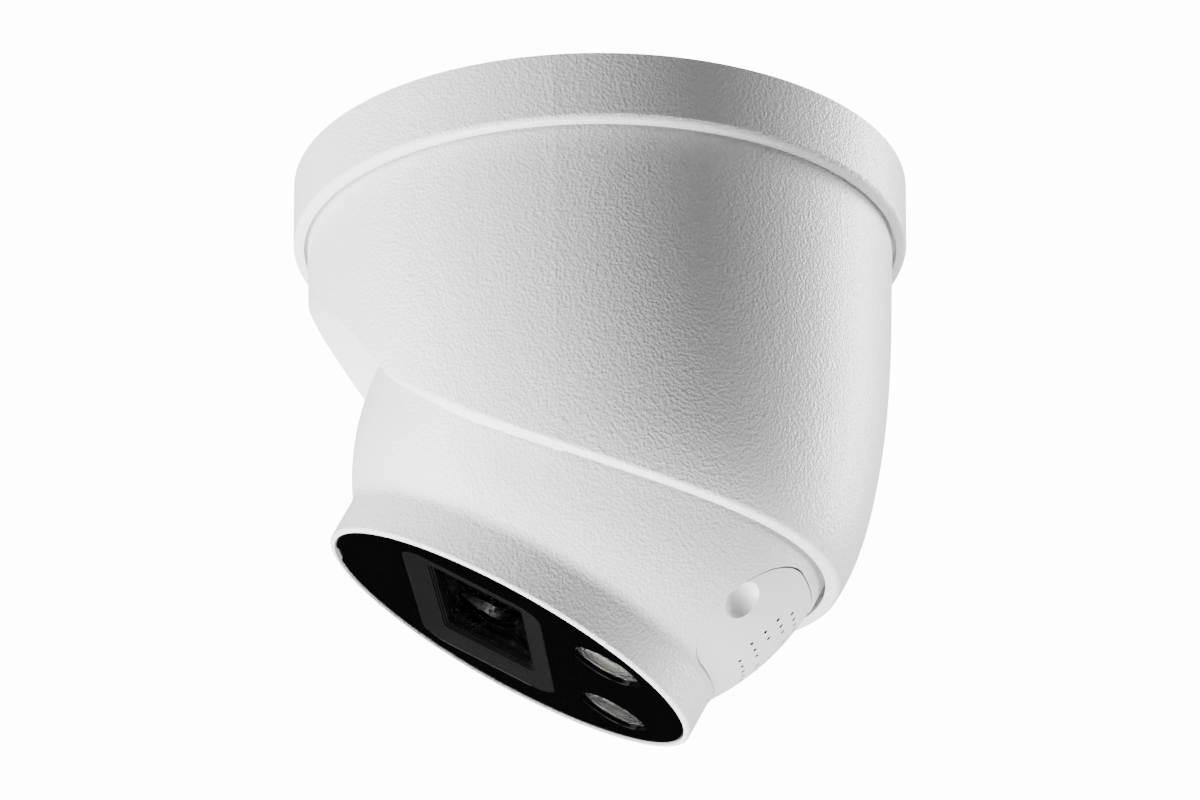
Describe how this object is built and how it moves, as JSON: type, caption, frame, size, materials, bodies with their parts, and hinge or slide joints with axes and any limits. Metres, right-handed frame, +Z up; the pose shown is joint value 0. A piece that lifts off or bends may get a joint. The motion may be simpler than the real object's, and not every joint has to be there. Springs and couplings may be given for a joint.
{
  "type": "turret security camera",
  "caption": "Ceiling turret camera with a panning housing, tilting and turning ball head, glossy face, lens window and lights.",
  "frame": {"origin": "centre of the mounting face of the base, against the ceiling", "axes": "+Z up into the ceiling, the object hangs below; the lens looks towards -Y and down"},
  "size_m": [0.122, 0.122, 0.1121],
  "materials": {
    "white_coat": "fine orange-peel powder coat, satin",
    "white_plastic": "smooth satin white",
    "cast_alloy": "die-cast, blasted",
    "steel": "plated",
    "seal_rubber": "matte",
    "bearing_plastic": "low friction",
    "black_gloss": "polished black",
    "black_texture": "spark-eroded texture",
    "black_anodised": "black anodised",
    "clear_glass": "clear",
    "coated_glass": "anti-reflection coated",
    "clear_plastic": "moulded clear optics",
    "warm_phosphor": "yellow phosphor",
    "infrared_chip": "satin",
    "sensor_silicon": "polished silicon",
    "circuit_board": "solder mask",
    "chip_plastic": "moulded"
  },
  "bodies": {
    "base": {"ceiling_gasket": "seal_rubber", "mounting_plate": "cast_alloy", "base_ring": "white_coat", "ring_screws": "steel", "cable_grommet": "seal_rubber", "pan_glide_ring": "bearing_plastic"},
    "housing": {"housing_shell": "white_coat", "pivot_bushings": "bearing_plastic"},
    "yoke": {"tilt_yoke": "steel", "pivot_pins": "steel", "tilt_friction_washers": "bearing_plastic"},
    "head": {"head_front_shell": "white_coat", "head_rear_shell": "white_coat", "retaining_ring": "steel", "cable_gland": "seal_rubber", "shell_screws": "steel", "shell_seal": "seal_rubber", "face_gasket": "seal_rubber", "front_cover": "black_gloss", "lens_hood": "black_texture", "lens_window": "clear_glass", "lens_baffle": "black_texture", "lens_barrel": "black_anodised", "lens_front_element": "coated_glass", "lens_rear_element": "coated_glass", "lens_holder": "black_texture", "infrared_cut_filter": "coated_glass", "image_sensor": "sensor_silicon", "sensor_board": "circuit_board", "warm_light_lens": "clear_plastic", "infrared_light_lens": "clear_plastic", "warm_light_emitter": "warm_phosphor", "infrared_light_emitter": "infrared_chip", "light_board": "circuit_board", "microphone": "steel", "microphone_boot": "seal_rubber", "main_board": "circuit_board", "processor_chip": "chip_plastic", "thermal_pad": "seal_rubber", "heat_spreader": "cast_alloy", "board_spacers": "steel", "board_screws": "steel", "spacer_screws": "steel", "access_cover": "white_plastic", "cover_gasket": "seal_rubber", "speaker": "chip_plastic", "speaker_gasket": "seal_rubber", "service_board": "circuit_board", "service_posts": "steel", "memory_card_slot": "steel", "memory_card": "chip_plastic", "reset_switch": "chip_plastic"},
    "reset": {"reset_button": "chip_plastic"}
  },
  "joints": [
    {"name": "pan", "type": "hinge", "parent": "base", "child": "housing", "pos_m": [0, 0, 0], "axis": [0, 0, 1], "range_deg": [-177.5, 177.5]},
    {"name": "tilt", "type": "hinge", "parent": "housing", "child": "yoke", "pos_m": [0, 0, -0.061], "axis": [1, 0, 0], "range_deg": [-49.2, 28.8]},
    {"name": "turn", "type": "hinge", "parent": "yoke", "child": "head", "pos_m": [0, 0, -0.061], "axis": [0, -0.4818, -0.8763], "range_deg": [-177.5, 177.5]},
    {"name": "reset_press", "type": "slide", "parent": "head", "child": "reset", "axis": [0.1025, -0.6759, 0.7298], "range_m": [0, 0.0003], "stiffness_N_per_m": 2000}
  ]
}
